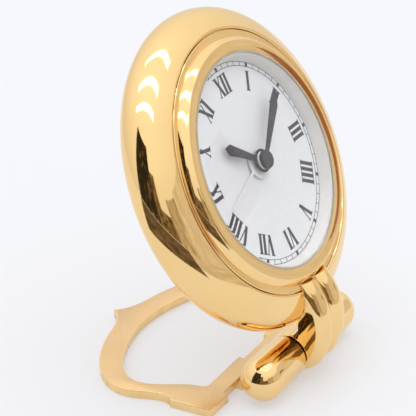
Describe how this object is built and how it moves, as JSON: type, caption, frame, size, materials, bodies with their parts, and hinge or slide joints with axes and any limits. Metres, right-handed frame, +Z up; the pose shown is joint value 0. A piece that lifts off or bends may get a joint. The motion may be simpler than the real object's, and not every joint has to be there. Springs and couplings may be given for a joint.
{
  "type": "travel alarm clock",
  "caption": "Round travel alarm clock with a rolled gold case and Roman dial, carried by a ribbed lug on a barrel hinge over a flat ring foot that folds against its back.",
  "frame": {"origin": "on the ground, under the middle of the bounding box, with the foot standing on Z = 0", "axes": "+Z up, +Y to the back where the foot ends in a point, +X towards the three o'clock side; the dial faces -Y and leans back 26.3 degrees"},
  "size_m": [0.075, 0.06, 0.0817],
  "materials": {
    "polished_gold": "polished gold plate",
    "satin_gold": "satin gold plate",
    "crystal_glass": "clear polished",
    "gasket_rubber": "smooth",
    "pale_metal": "satin",
    "dial_silver": "fine matt silvered",
    "dial_ink": "printed matt",
    "dark_metal": "satin dark lacquer",
    "pale_paint": "satin",
    "white_plastic": "moulded",
    "black_plastic": "moulded",
    "plain_steel": "turned",
    "gear_brass": "cut and turned",
    "copper_wire": "wound enamelled copper wire",
    "board_green": "solder mask"
  },
  "bodies": {
    "stand": {"foot_frame": "satin_gold", "left_barrel": "polished_gold", "right_barrel": "polished_gold", "hinge_pin": "plain_steel"},
    "case": {"case_body": "polished_gold", "bezel": "polished_gold", "crystal": "crystal_glass", "crystal_gasket": "gasket_rubber", "rehaut_ring": "pale_metal", "dial": "dial_silver", "dial_numerals": "dial_ink", "minute_track": "dial_ink", "movement_holder": "white_plastic", "front_plate": "black_plastic", "movement_housing": "black_plastic", "movement_screws": "plain_steel", "circuit_board": "board_green", "quartz_can": "plain_steel", "drive_coil": "copper_wire", "stator": "plain_steel", "train_bridge": "gear_brass", "buzzer": "black_plastic", "button_cell": "plain_steel", "battery_contacts": "gear_brass", "back_cover": "satin_gold", "back_screws": "plain_steel", "lug": "polished_gold", "lug_screws": "plain_steel", "friction_washers": "plain_steel"},
    "minute": {"minute_arbor": "plain_steel", "minute_hand": "dark_metal", "hand_cap": "dark_metal"},
    "hour": {"hour_wheel": "gear_brass", "hour_hand": "dark_metal", "hour_hand_bush": "pale_metal"},
    "time_setting": {"minute_wheel": "gear_brass", "time_stem": "plain_steel", "time_knob": "polished_gold"},
    "alarm": {"alarm_wheel": "gear_brass", "alarm_hand": "pale_paint"},
    "alarm_setting": {"alarm_stem": "plain_steel", "alarm_knob": "polished_gold"},
    "centre": {"centre_wheel": "gear_brass"},
    "third": {"third_wheel": "gear_brass"},
    "step_rotor": {"rotor": "plain_steel"},
    "switch": {"alarm_switch": "black_plastic"},
    "hatch": {"battery_hatch": "satin_gold"}
  },
  "joints": [
    {"name": "stand_fold", "type": "hinge", "parent": "stand", "child": "case", "pos_m": [0, -0.02019, 0.00574], "axis": [-1, 0, 0], "range_deg": [0, 63.7]},
    {"name": "minute_turn", "type": "hinge", "parent": "case", "child": "minute", "pos_m": [0, -0.00963, 0.04982], "axis": [0, -0.8965, 0.4431], "continuous": true},
    {"name": "hour_turn", "type": "hinge", "parent": "case", "child": "hour", "pos_m": [0, -0.00963, 0.04982], "axis": [0, -0.8965, 0.4431], "continuous": true},
    {"name": "time_setting_turn", "type": "hinge", "parent": "case", "child": "time_setting", "pos_m": [-0.00521, -0.01382, 0.04134], "axis": [0, -0.8965, 0.4431], "continuous": true},
    {"name": "alarm_turn", "type": "hinge", "parent": "case", "child": "alarm", "pos_m": [0, -0.00963, 0.04982], "axis": [0, -0.8965, 0.4431], "continuous": true},
    {"name": "alarm_setting_turn", "type": "hinge", "parent": "case", "child": "alarm_setting", "pos_m": [0.00521, -0.01382, 0.04134], "axis": [0, -0.8965, 0.4431], "continuous": true},
    {"name": "centre_turn", "type": "hinge", "parent": "case", "child": "centre", "pos_m": [0, -0.00963, 0.04982], "axis": [0, -0.8965, 0.4431], "continuous": true},
    {"name": "third_turn", "type": "hinge", "parent": "case", "child": "third", "pos_m": [0.00438, -0.00627, 0.05662], "axis": [0, -0.8965, 0.4431], "continuous": true},
    {"name": "rotor_turn", "type": "hinge", "parent": "case", "child": "step_rotor", "pos_m": [0.01001, -0.00718, 0.05478], "axis": [0, -0.8965, 0.4431], "continuous": true},
    {"name": "switch_slide", "type": "slide", "parent": "case", "child": "switch", "axis": [1, 0, 0], "range_m": [0, 0.003]},
    {"name": "hatch_turn", "type": "hinge", "parent": "case", "child": "hatch", "pos_m": [-0.0095, 0.00533, 0.05526], "axis": [0, -0.8965, 0.4431], "range_deg": [0, 60]}
  ],
  "couplings": [
    {"joint": "hour_turn", "follows": "minute_turn", "ratio": 0.083333},
    {"joint": "time_setting_turn", "follows": "minute_turn", "ratio": -0.33333},
    {"joint": "alarm_setting_turn", "follows": "alarm_turn", "ratio": -3},
    {"joint": "third_turn", "follows": "centre_turn", "ratio": -6},
    {"joint": "rotor_turn", "follows": "centre_turn", "ratio": 30}
  ]
}
